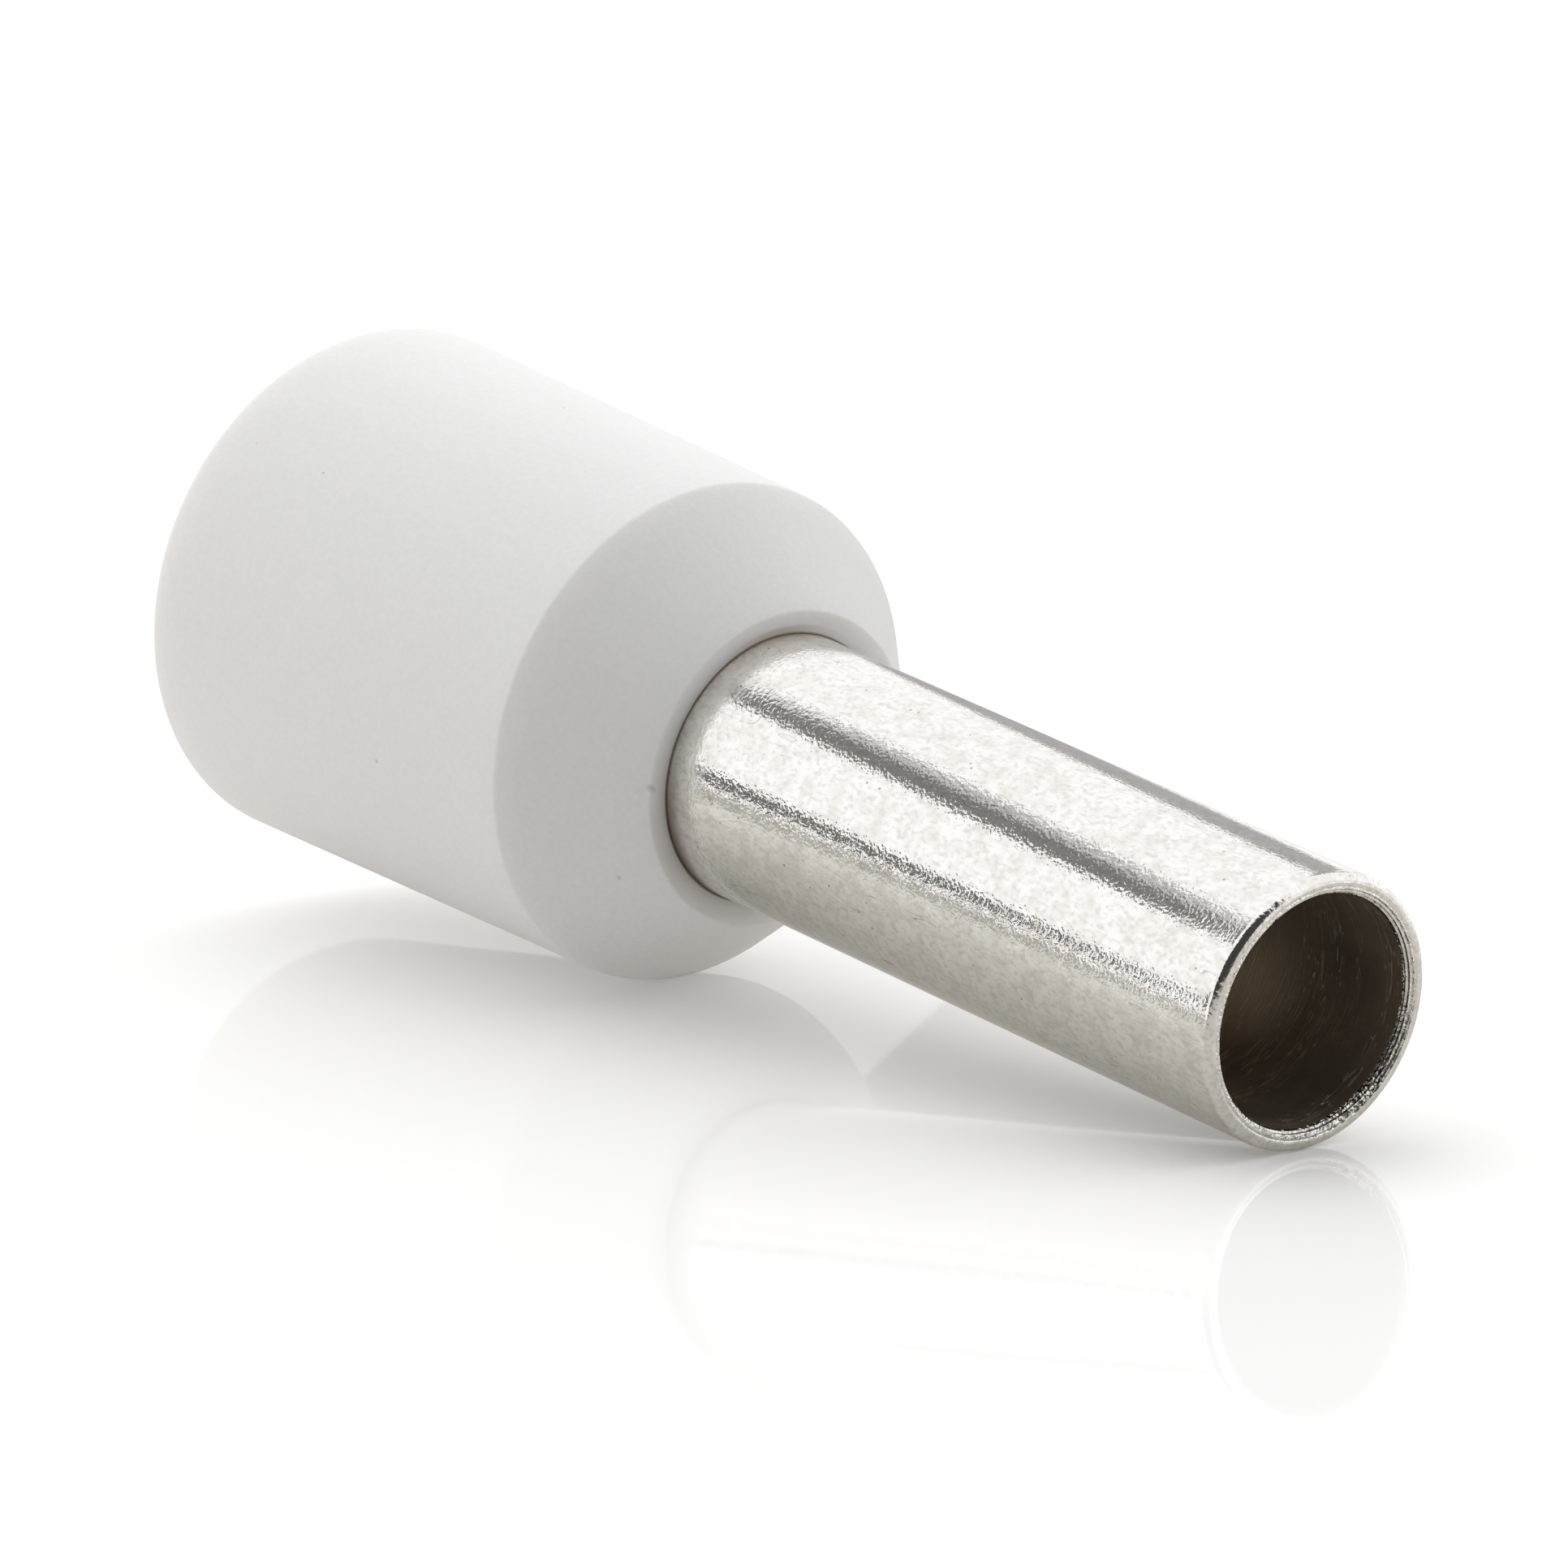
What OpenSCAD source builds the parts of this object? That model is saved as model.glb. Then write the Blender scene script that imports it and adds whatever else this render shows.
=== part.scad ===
// Insulated wire ferrule for stranded wire of 2.5 square millimetres.
// A thin tinned barrel, flared at its wire end, sits in a moulded plastic collar.
// Both pieces are turned shapes on one axis, which is Z. The ferrule stands on the
// rear end of its collar, with the mouth of its barrel up.

/* [Barrel] */
// Outer diameter of the barrel
barrel_d = 2.6; // [2.2:0.05:3.2]
// Thickness of the barrel's metal
barrel_wall = 0.2; // [0.15:0.01:0.3]
// Length of the barrel that stands out of the collar
barrel_out = 7.6; // [5:0.2:12]
// Where the barrel's straight stretch starts, in front of the dished ring's floor
root_len = 0.2; // [0.1:0.05:0.5]
// How much wider in radius the barrel's root is, where its flare starts
root_swell = 0.02; // [0.01:0.01:0.03]
// Rounding of the mouth's outer edge
mouth_round = 0.09; // [0.04:0.01:0.1]
// Bevel on the mouth's inner edge
mouth_bevel = 0.05; // [0.01:0.01:0.05]
// Rounding of the throat, where the flare narrows to the bore
throat_round = 0.3; // [0.1:0.05:0.6]

/* [Collar] */
// Length of the collar, from its rear end to the hole that the barrel leaves by
collar_len = 6.4; // [5:0.2:9]
// Diameter of the wire entry, which takes the wire's insulation
entry_d = 4.2; // [3.8:0.05:5]
// Wall of the collar around the wire entry, at its front edge
collar_wall = 0.35; // [0.25:0.01:0.6]
// How much further the rear end reaches out than the front edge, as moulding draft
draft = 0.13; // [0:0.01:0.3]
// Angle between the shoulder and the ferrule's axis
shoulder_angle = 37; // [25:1:50]
// Rounding of the front edge, between the wall and the shoulder
edge_round = 0.08; // [0.03:0.01:0.2]
// Rounding of the rear end's outer edge
rear_round = 0.1; // [0.03:0.01:0.15]
// Bevel that leads the wire into the rear end
entry_bevel = 0.15; // [0.05:0.01:0.25]

/* [Seat of the barrel in the collar] */
// Length of the collar's neck, from the hole to the flare's seat
neck_len = 0.5; // [0.4:0.05:1]
// Stretch of the neck that grips the barrel
grip_len = 0.25; // [0.1:0.05:0.35]
// Gap around the barrel in front of the grip
neck_gap = 0.025; // [0.02:0.005:0.06]
// Width of the dished ring around the hole
dish_w = 0.215; // [0.08:0.005:0.3]
// Depth of the dished ring
dish_depth = 0.06; // [0.03:0.01:0.2]
// Rounding of the dished ring's crest
crest_round = 0.03; // [0.01:0.01:0.06]
// Clearance between the flare's rim and the wire entry
flare_gap = 0.06; // [0.02:0.01:0.15]

/* [Hidden] */
$fn = 96;
// Straight steps in each rounded corner of an outline
arc_steps = 6;

// Radii
barrel_r = barrel_d / 2;
bore_r = barrel_r - barrel_wall;
seat_r = barrel_r + root_swell;
entry_r = entry_d / 2;
front_r = entry_r + collar_wall;
rear_r = front_r + draft;
flare_r = entry_r - flare_gap;
hole_r = barrel_r + neck_gap;
crest_r = hole_r + dish_w;

// Places along the axis: 0 is the floor of the dished ring, the mouth is positive
edge_z = dish_depth - (front_r - crest_r) / tan(shoulder_angle);
relief_z = grip_len - neck_len;
seat_slope = tan(shoulder_angle);
seat_end_z = -neck_len - (entry_r - seat_r) / seat_slope;
flare_end_z = -neck_len - (flare_r - seat_r) / seat_slope;
// The flare keeps the barrel's wall, measured square to its cone
flare_wall = barrel_wall / cos(shoulder_angle);
throat_z = -neck_len - (flare_wall - barrel_wall - root_swell) / seat_slope;
// The grip is the front part of the root's slight taper
grip_r = barrel_r + root_swell * (root_len - relief_z) / (root_len + neck_len);

// Corners of each outline as [[radius, place], rounding]
collar_outline = [
    [[entry_r + entry_bevel, -collar_len], 0],
    [[rear_r, -collar_len], rear_round],
    [[front_r, edge_z], edge_round],
    [[crest_r, dish_depth], crest_round],
    [[hole_r, 0], 0],
    [[hole_r, relief_z + neck_gap], 0],
    [[grip_r, relief_z], 0],
    [[seat_r, -neck_len], 0],
    [[entry_r, seat_end_z], 0],
    [[entry_r, entry_bevel - collar_len], 0],
];

barrel_outline = [
    [[bore_r, barrel_out - mouth_bevel], 0],
    [[bore_r, throat_z], throat_round],
    [[flare_r - flare_wall, flare_end_z], 0],
    [[flare_r, flare_end_z], 0],
    [[seat_r, -neck_len], 0],
    [[barrel_r, root_len], 0],
    [[barrel_r, barrel_out], mouth_round],
    [[bore_r + mouth_bevel, barrel_out], 0],
];

function unit(v) = v / norm(v);

// Centre of the arc that rounds corner b, on the way from a to c
function arc_centre(a, b, c, radius) =
    let (u = unit(a - b), v = unit(c - b), half = acos(u * v) / 2)
    b + unit(u + v) * radius / sin(half);

// Points of that arc, from the side of a to the side of c
function arc_points(a, b, c, radius) =
    let (
        centre = arc_centre(a, b, c, radius),
        run = sqrt(pow(norm(centre - b), 2) - pow(radius, 2)),
        first = b + unit(a - b) * run - centre,
        last = b + unit(c - b) * run - centre,
        start = atan2(first.y, first.x),
        turn = atan2(first.x * last.y - first.y * last.x, first * last)
    )
    [for (i = [0 : arc_steps]) let (at = start + turn * i / arc_steps)
        centre + radius * [cos(at), sin(at)]];

// An outline's points, with its corners rounded as they ask
function rounded(outline) =
    let (n = len(outline))
    [for (i = [0 : n - 1])
        let (before = outline[(i + n - 1) % n][0], at = outline[i][0], after = outline[(i + 1) % n][0])
        for (p = outline[i][1] > 0 ? arc_points(before, at, after, outline[i][1]) : [at]) p];

// Turns an outline round the axis and stands it on the collar's rear end
module turned(outline)
    translate([0, 0, collar_len])
        rotate_extrude()
            polygon(rounded(outline));

// Moulded collar, with the wire entry, the flare's seat and the dished ring
module collar() {
    color([0.93, 0.93, 0.92]) turned(collar_outline);
}

// Drawn barrel, with its flare, throat and rounded mouth
module barrel() {
    color([0.75, 0.74, 0.72]) turned(barrel_outline);
}

collar();
barrel();
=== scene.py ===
"""Looks of an insulated wire ferrule: a white moulded collar with a tinned barrel.

Both pieces are turned on the Z axis. The ferrule stands on its collar's rear end, with
the mouth up, because it rolls when it lies on its side. The photograph shows it lying on
a glossy sheet, so the sheet, the light and the camera are placed as they were around the
lying ferrule, and are turned with it. Sizes are in millimetres unless a comment says
metres, and places along the axis count from the floor of the collar's dished ring.
"""

import logging
import math
from collections.abc import Mapping
from dataclasses import dataclass
from enum import Enum

import bpy
from mathutils import Matrix, Vector

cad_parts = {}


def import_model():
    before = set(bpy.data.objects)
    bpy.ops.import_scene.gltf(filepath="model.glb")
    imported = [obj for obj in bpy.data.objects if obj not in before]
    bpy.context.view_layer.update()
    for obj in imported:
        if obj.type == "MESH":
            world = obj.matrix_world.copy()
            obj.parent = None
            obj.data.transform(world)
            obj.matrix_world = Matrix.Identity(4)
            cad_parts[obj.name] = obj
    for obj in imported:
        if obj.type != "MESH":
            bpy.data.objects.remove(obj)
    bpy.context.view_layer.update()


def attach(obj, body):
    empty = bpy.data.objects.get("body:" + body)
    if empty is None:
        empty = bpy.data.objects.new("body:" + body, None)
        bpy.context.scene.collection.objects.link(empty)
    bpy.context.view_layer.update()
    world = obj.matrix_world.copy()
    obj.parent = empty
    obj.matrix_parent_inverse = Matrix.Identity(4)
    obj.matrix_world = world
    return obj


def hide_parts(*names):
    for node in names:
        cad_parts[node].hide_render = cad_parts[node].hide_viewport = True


Colour = tuple[float, float, float]
Point = tuple[float, float, float]
Span = tuple[float, float]
Socket = bpy.types.NodeSocket
# What a node's inputs get, by name or number
Inputs = dict[str | int, object]

MM = 0.001
WHITE = (1, 1, 1, 1)
# Points of a turned piece that are closer than this, in metres, are one point
MERGE = 0.000001
SEGMENTS = 192
BODY = "root"
# A Mix node's colour sockets, whose names its other kinds share
MIX_FIRST, MIX_SECOND, MIX_RESULT = 6, 7, 2

log = logging.getLogger("ferrule")


class Slot(Enum):
    """The record's material slots."""

    PLASTIC = "white_plastic"
    TIN = "tinned_metal"


@dataclass(frozen=True)
class Corner:
    """A corner of a turned outline.

    Attributes:
        radius: Distance from the axis.
        place: Place along the axis.
        rounding: Radius of the arc that rounds the corner, or 0 for a sharp one.
        steps: Straight steps in that arc.
    """

    radius: float
    place: float
    rounding: float = 0.0
    steps: int = 8

    def at(self) -> Vector:
        """Return the corner's place in the outline's plane."""
        return Vector((self.radius, self.place))


@dataclass(frozen=True)
class Outline:
    """A closed outline that is turned round the axis.

    Attributes:
        corners: Its corners in order.
        hold: Distance of the rings that hold a flat stretch straight beside its ends.
        reach: Longest stretch of surface between two rings.
    """

    corners: tuple[Corner, ...]
    hold: float = 0.012
    reach: float = 0.5

    def _arc(self, index: int) -> list[Vector]:
        """Round one corner.

        Args:
            index: Which corner.

        Returns:
            The arc's points, or the corner itself where it is sharp.
        """
        count = len(self.corners)
        corner = self.corners[index]
        at = corner.at()
        if corner.rounding <= 0:
            return [at]
        back = (self.corners[index - 1].at() - at).normalized()
        ahead = (self.corners[(index + 1) % count].at() - at).normalized()
        half = math.acos(max(-1.0, min(1.0, back.dot(ahead)))) / 2
        centre = at + (back + ahead).normalized() * corner.rounding / math.sin(half)
        run = corner.rounding / math.tan(half)
        first = at + back * run - centre
        last = at + ahead * run - centre
        turn = math.atan2(first.x * last.y - first.y * last.x, first.dot(last))
        points = []
        for step in range(corner.steps + 1):
            angle = turn * step / corner.steps
            cos, sin = math.cos(angle), math.sin(angle)
            spoke = Vector((first.x * cos - first.y * sin, first.x * sin + first.y * cos))
            points.append(centre + spoke)
        return points

    def rings(self) -> list[Vector]:
        """Return the outline's points, with its roundings and its holding rings."""
        arcs = [self._arc(index) for index in range(len(self.corners))]
        shortest = 4 * self.hold
        points: list[Vector] = []
        for arc, following in zip(arcs, arcs[1:] + arcs[:1]):
            points.extend(arc)
            start, end = arc[-1], following[0]
            length = (end - start).length
            if length < shortest:
                continue
            pieces = max(1, math.ceil(length / self.reach))
            stops = [self.hold / length]
            stops += [step / pieces for step in range(1, pieces)]
            stops.append(1 - self.hold / length)
            points.extend(start.lerp(end, stop) for stop in stops)
        return points


class NodeBench:
    """A node tree, with short ways to add the nodes that effects, looks and lights need."""

    def __init__(self, tree: bpy.types.NodeTree) -> None:
        """Clear the tree."""
        self.tree = tree
        self.tree.nodes.clear()

    def plug(self, socket: Socket, value: object) -> None:
        """Link a value to a socket, or set it there if it is a plain one."""
        if isinstance(value, Socket):
            self.tree.links.new(value, socket)
        else:
            socket.default_value = value

    def add(self, kind: str, inputs: Inputs | None = None, **settings: object) -> bpy.types.Node:
        """Add a node.

        Args:
            kind: Its type.
            inputs: What its inputs get, each a socket or a plain value.
            **settings: Its properties by name.

        Returns:
            The node.
        """
        node = self.tree.nodes.new(kind)
        for name, value in settings.items():
            setattr(node, name, value)
        for key, value in (inputs or {}).items():
            self.plug(node.inputs[key], value)
        return node

    def math(self, operation: str, *values: object) -> Socket:
        """Add a Math node.

        Args:
            operation: What it does.
            *values: Its inputs, each a socket or a number.

        Returns:
            Its result.
        """
        inputs = dict(enumerate(values))
        return self.add("ShaderNodeMath", inputs, operation=operation).outputs["Value"]

    def ramp(self, value: Socket, span: Span, low: float = 0.0, high: float = 1.0) -> Socket:
        """Map a stretch of a value smoothly onto another.

        Args:
            value: The value.
            span: Where the stretch starts and ends.
            low: Result at the start.
            high: Result at the end.

        Returns:
            The mapped value.
        """
        inputs: Inputs = {"Value": value, "From Min": span[0], "From Max": span[1]}
        inputs |= {"To Min": low, "To Max": high}
        node = self.add("ShaderNodeMapRange", inputs, interpolation_type="SMOOTHSTEP")
        return node.outputs["Result"]

    def fall(self, value: Socket, span: Span) -> Socket:
        """Fall smoothly from 1 to 0 over a stretch of a value."""
        return self.ramp(value, span, 1.0, 0.0)

    def blend(self, factor: Socket, first: object, second: object) -> Socket:
        """Mix two colours.

        Args:
            factor: How much of the second shows.
            first: A colour or a socket.
            second: A colour or a socket.

        Returns:
            The mixed colour.
        """
        inputs: Inputs = {"Factor": factor}
        for index, value in ((MIX_FIRST, first), (MIX_SECOND, second)):
            inputs[index] = (*value, 1.0) if isinstance(value, tuple) else value
        return self.add("ShaderNodeMix", inputs, data_type="RGBA").outputs[MIX_RESULT]

    def close(self, shader: Socket, kind: str = "ShaderNodeOutputMaterial") -> None:
        """Link a shader to a new output node."""
        self.add(kind, {"Surface": shader})


@dataclass(frozen=True)
class Lie:
    """How the photographed ferrule lay, against how the modelled one stands.

    Attributes:
        tilt: How far the lying axis dips towards the mouth, in degrees.
        shift: Where the lying axis's zero is along X.
        height: Height of that point over the sheet.
        base: Height of the standing axis's zero.
        facing: Turn round Z that faces the sheet to the usual views, in degrees.
    """

    tilt: float = 7.546275
    shift: float = -0.511532
    height: float = 2.275785
    base: float = 6.4
    facing: float = 135.0

    def turn(self) -> Matrix:
        """Return the turn that stands the photographed ferrule up."""
        upright = Matrix.Rotation(math.radians(-90 - self.tilt), 4, "Y")
        return Matrix.Rotation(math.radians(self.facing), 4, "Z") @ upright

    def stand_up(self) -> Matrix:
        """Return the move, in metres, that stands the photographed ferrule up."""
        to_axis = Matrix.Translation(Vector((-self.shift, 0, -self.height)) * MM)
        return Matrix.Translation((0, 0, self.base * MM)) @ self.turn() @ to_axis

    def dress_mapping(self, bench: NodeBench) -> Socket:
        """Add Object coordinates on the ferrule's own axis, in millimetres.

        Args:
            bench: The material's bench.

        Returns:
            The coordinates: Z along the axis, 0 on the dished ring's floor, and -X towards
            what was up in the photograph.
        """
        inputs = {
            "Vector": bench.add("ShaderNodeTexCoord").outputs["Object"],
            "Location": (0, 0, self.base * MM),
            "Rotation": (0, 0, math.radians(self.facing)),
            "Scale": (MM, MM, MM),
        }
        return bench.add("ShaderNodeMapping", inputs, vector_type="TEXTURE").outputs["Vector"]


def shade(colour: Colour, share: float) -> Colour:
    """Return a darker colour."""
    return tuple(channel * share for channel in colour)


def turned(name: str, outline: Outline, base: float, smooth: float) -> bpy.types.Object:
    """Turn an outline into a closed mesh, ring by ring.

    Args:
        name: The piece's name.
        outline: The outline.
        base: Height of the outline's zero.
        smooth: Sharpest edge that is still shaded smooth, in degrees.

    Returns:
        The piece.
    """
    rings = outline.rings()
    first = rings[0]
    bpy.ops.object.select_all(action="DESELECT")
    bpy.ops.mesh.primitive_circle_add(
        vertices=SEGMENTS,
        radius=first.x * MM,
        fill_type="NOTHING",
        location=(0, 0, (base + first.y) * MM),
    )
    piece = bpy.context.object
    piece.name = name
    piece.data.name = name
    bpy.ops.object.transform_apply(location=True, rotation=False, scale=False)
    bpy.ops.object.mode_set(mode="EDIT")
    bpy.ops.mesh.select_all(action="SELECT")
    for before, ring in zip(rings, rings[1:] + rings[:1]):
        rise = (0, 0, (ring.y - before.y) * MM)
        bpy.ops.mesh.extrude_edges_move(TRANSFORM_OT_translate={"value": rise})
        share = ring.x / before.x
        middle = (0, 0, (base + ring.y) * MM)
        bpy.ops.transform.resize(value=(share, share, 1), center_override=middle)
    bpy.ops.mesh.select_all(action="SELECT")
    bpy.ops.mesh.remove_doubles(threshold=MERGE)
    bpy.ops.mesh.normals_make_consistent(inside=False)
    bpy.ops.mesh.select_all(action="DESELECT")
    bpy.ops.object.mode_set(mode="OBJECT")
    bpy.ops.object.shade_smooth_by_angle(angle=math.radians(smooth))
    return piece


class Effect(Enum):
    """Shader node groups that the finishes share."""

    RELIEF = "Fine relief"
    SPECKS = "Specks"
    SCRATCHES = "Hair scratches"
    MOTTLE = "Mottling"


class EffectShelf:
    """Builds each shared effect once and places it in a material with its own values."""

    def __init__(self) -> None:
        """Build the groups."""
        self.groups = {
            Effect.RELIEF: self._relief(),
            Effect.SPECKS: self._specks(),
            Effect.SCRATCHES: self._scratches(),
            Effect.MOTTLE: self._mottle(),
        }

    def _new(
        self, effect: Effect, values: dict[str, float], output: str
    ) -> tuple[NodeBench, Mapping[str, Socket], Socket]:
        """Start a group with a vector input, named values and one output.

        Args:
            effect: Which effect it is.
            values: Names and first values of its inputs.
            output: Name of its output.

        Returns:
            The group's bench, what it is given, and the socket that its result goes to.
        """
        group = bpy.data.node_groups.new(effect.value, "ShaderNodeTree")
        sockets = group.interface
        sockets.new_socket(name="Vector", in_out="INPUT", socket_type="NodeSocketVector")
        for name, value in values.items():
            socket = sockets.new_socket(name=name, in_out="INPUT", socket_type="NodeSocketFloat")
            socket.default_value = value
        sockets.new_socket(name=output, in_out="OUTPUT", socket_type="NodeSocketFloat")
        bench = NodeBench(group)
        given = bench.add("NodeGroupInput").outputs
        return bench, given, bench.add("NodeGroupOutput").inputs[output]

    def _relief(self) -> bpy.types.NodeTree:
        """Return a group of fine rounded roughness, as orange peel or moulded grain."""
        values = {"Scale": 30.0, "Detail": 1.0}
        bench, given, height = self._new(Effect.RELIEF, values, "Height")
        inputs = {name: given[name] for name in ("Vector", "Scale", "Detail")}
        bench.plug(height, bench.add("ShaderNodeTexNoise", inputs).outputs["Fac"])
        return bench.tree

    def _specks(self) -> bpy.types.NodeTree:
        """Return a group of sparse dots of dust or dirt: a few cells out of many hold one."""
        values = {"Scale": 6.0, "Size": 0.12, "Rarity": 0.8}
        bench, given, mask = self._new(Effect.SPECKS, values, "Mask")
        inputs = {"Vector": given["Vector"], "Scale": given["Scale"]}
        cells = bench.add("ShaderNodeTexVoronoi", inputs, feature="F1").outputs
        dot = bench.math("LESS_THAN", cells["Distance"], given["Size"])
        pick = bench.add("ShaderNodeSeparateColor", {"Color": cells["Color"]})
        rare = bench.math("GREATER_THAN", pick.outputs["Red"], given["Rarity"])
        bench.plug(mask, bench.math("MULTIPLY", dot, rare))
        return bench.tree

    def _scratches(self) -> bpy.types.NodeTree:
        """Return a group of thin broken lines, where a noise passes its middle value."""
        values = {"Scale": 1.0, "Width": 0.01, "Patches": 1.5, "Cover": 0.6}
        bench, given, mask = self._new(Effect.SCRATCHES, values, "Mask")
        inputs = {"Vector": given["Vector"], "Scale": given["Scale"], "Detail": 1.0}
        lines = bench.add("ShaderNodeTexNoise", inputs).outputs["Fac"]
        middle = bench.math("COMPARE", lines, 0.5, given["Width"])
        inputs = {"Vector": given["Vector"], "Scale": given["Patches"], "Detail": 0.0}
        patches = bench.add("ShaderNodeTexNoise", inputs).outputs["Fac"]
        shown = bench.math("GREATER_THAN", patches, given["Cover"])
        bench.plug(mask, bench.math("MULTIPLY", middle, shown))
        return bench.tree

    def _mottle(self) -> bpy.types.NodeTree:
        """Return a group of soft uneven patches, between a low and a high value."""
        values = {"Scale": 2.0, "Low": 0.0, "High": 1.0}
        bench, given, patches = self._new(Effect.MOTTLE, values, "Value")
        inputs = {"Vector": given["Vector"], "Scale": given["Scale"], "Detail": 3.0}
        noise = bench.add("ShaderNodeTexNoise", inputs).outputs["Fac"]
        spread = {"Value": noise, "From Min": 0.3, "From Max": 0.7}
        spread |= {"To Min": given["Low"], "To Max": given["High"]}
        bench.plug(patches, bench.add("ShaderNodeMapRange", spread).outputs["Result"])
        return bench.tree

    def place(self, bench: NodeBench, effect: Effect, vector: Socket, **values: float) -> Socket:
        """Place an effect in a material.

        Args:
            bench: The material's bench.
            effect: Which effect.
            vector: The coordinates it reads.
            **values: Its values by name.

        Returns:
            The effect's output.
        """
        inputs = {"Vector": vector, **values}
        return bench.add("ShaderNodeGroup", inputs, node_tree=self.groups[effect]).outputs[0]


class MaterialBench(NodeBench):
    """The empty node tree of a new material."""

    def __init__(self, name: str) -> None:
        """Start the material."""
        self.material = bpy.data.materials.new(name)
        self.material.use_nodes = True
        super().__init__(self.material.node_tree)


class Workbench(MaterialBench):
    """A material of the ferrule, with its shader, its coordinates and the shared effects.

    Attributes:
        upright: Coordinates on the ferrule's own axis.
        downward: How far a point is towards what was down in the photograph.
        sideways: How far it is square to that and to the axis.
        along: Its place along the axis.
    """

    def __init__(self, name: str, shelf: EffectShelf, lie: Lie) -> None:
        """Start the material.

        Args:
            name: Its name.
            shelf: The shared effects.
            lie: How the ferrule lay.
        """
        super().__init__(name)
        self.shelf = shelf
        self.shader = self.add("ShaderNodeBsdfPrincipled")
        self.close(self.shader.outputs["BSDF"])
        self.upright = lie.dress_mapping(self)
        split = self.add("ShaderNodeSeparateXYZ", {"Vector": self.upright})
        self.downward, self.sideways, self.along = split.outputs

    def radius(self) -> Socket:
        """Return the distance from the axis."""
        squares = (self.math("MULTIPLY", side, side) for side in (self.downward, self.sideways))
        return self.math("SQRT", self.math("ADD", *squares))

    def effect(self, effect: Effect, stretch: Span | None = None, **values: float) -> Socket:
        """Place a shared effect.

        Args:
            effect: Which effect.
            stretch: Scales of its coordinates across and along the axis, or None.
            **values: Its values by name.

        Returns:
            The effect's output.
        """
        vector = self.upright
        if stretch:
            across, along = stretch
            inputs = {"Vector": vector, "Scale": (across, across, along)}
            vector = self.add("ShaderNodeMapping", inputs, vector_type="POINT").outputs["Vector"]
        return self.shelf.place(self, effect, vector, **values)

    def near(self, centre: Point, reach: float) -> Socket:
        """Return a soft spot round a point.

        Args:
            centre: The point, in the upright coordinates.
            reach: Where the spot ends.

        Returns:
            A mask, 1 at the point.
        """
        ends = {0: self.upright, 1: centre}
        distance = self.add("ShaderNodeVectorMath", ends, operation="DISTANCE")
        return self.fall(distance.outputs["Value"], (0.0, reach))

    def bump(self, *layers: tuple[Socket, float]) -> None:
        """Give the shader its relief.

        Args:
            *layers: Each layer's height, from 0 to 1, and its real depth.
        """
        total: object = 0.0
        for height, depth in layers:
            total = self.math("MULTIPLY_ADD", height, depth, total)
        relief = self.add("ShaderNodeBump", {"Distance": MM, "Height": total})
        self.feed("Normal", relief.outputs["Normal"])

    def feed(self, socket: str, value: Socket) -> None:
        """Link a value to the shader."""
        self.plug(self.shader.inputs[socket], value)

    def fix(self, **values: object) -> None:
        """Set plain values on the shader's own sockets, with underscores for spaces."""
        for name, value in values.items():
            self.shader.inputs[name.replace("_", " ")].default_value = value


class Finish:
    """The look of one surface."""

    def paint(self, bench: Workbench) -> None:
        """Give the bench's shader its looks."""
        raise NotImplementedError

    def make(self, name: str, shelf: EffectShelf, lie: Lie) -> bpy.types.Material:
        """Build the material.

        Args:
            name: Its name.
            shelf: The shared effects.
            lie: How the ferrule lay.

        Returns:
            The material.
        """
        bench = Workbench(name, shelf, lie)
        self.paint(bench)
        return bench.material


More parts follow.
